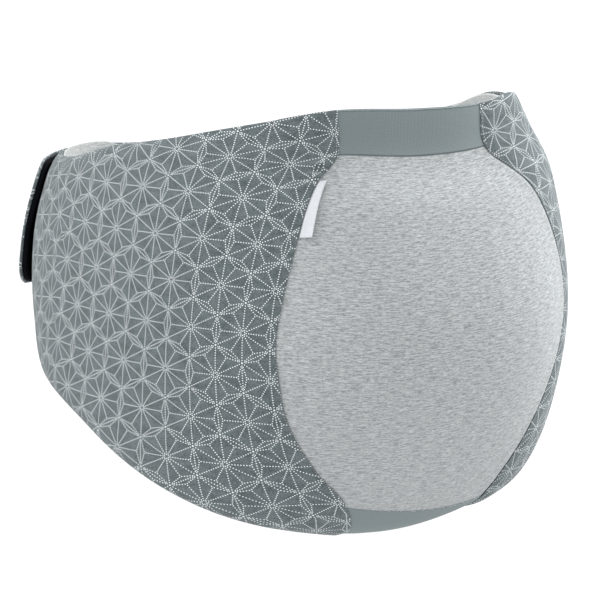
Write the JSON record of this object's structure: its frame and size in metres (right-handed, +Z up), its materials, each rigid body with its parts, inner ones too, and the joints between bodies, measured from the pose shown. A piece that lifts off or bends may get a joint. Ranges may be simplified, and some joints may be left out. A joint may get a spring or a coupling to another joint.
{
  "type": "maternity support belt",
  "caption": "Wrap-round support belt in its worn shape: domed stretch panel, elastic bands, padded patterned wings and a hook-tape closure.",
  "frame": {"origin": "middle of the hollow that the wearer's waist fills", "axes": "+Z up along the wearer's body, the belly faces -Y, +X is the wearer's left"},
  "size_m": [0.3066, 0.3822, 0.284],
  "materials": {
    "jersey": "light heather grey stretch jersey, matt, fine horizontal streaks",
    "elastic": "mid grey woven elastic, fine ribs, slight sheen",
    "patterned_fabric": "mid grey knit printed with a dotted off-white hemp-leaf lattice, matt",
    "lining_jersey": "light grey jersey facing, matt",
    "hook_tape": "black hook tape, matt, fine hooks",
    "label_tape": "white woven ribbon, bare"
  },
  "bodies": {
    "root": {"belly_panel": "jersey", "top_band": "elastic", "bottom_band": "elastic", "wing_right": "patterned_fabric", "wing_left": "patterned_fabric", "lining_right": "lining_jersey", "lining_left": "lining_jersey", "closure_tab": "patterned_fabric", "tab_lining": "lining_jersey", "hook_tape": "hook_tape", "label": "label_tape"}
  },
  "joints": []
}
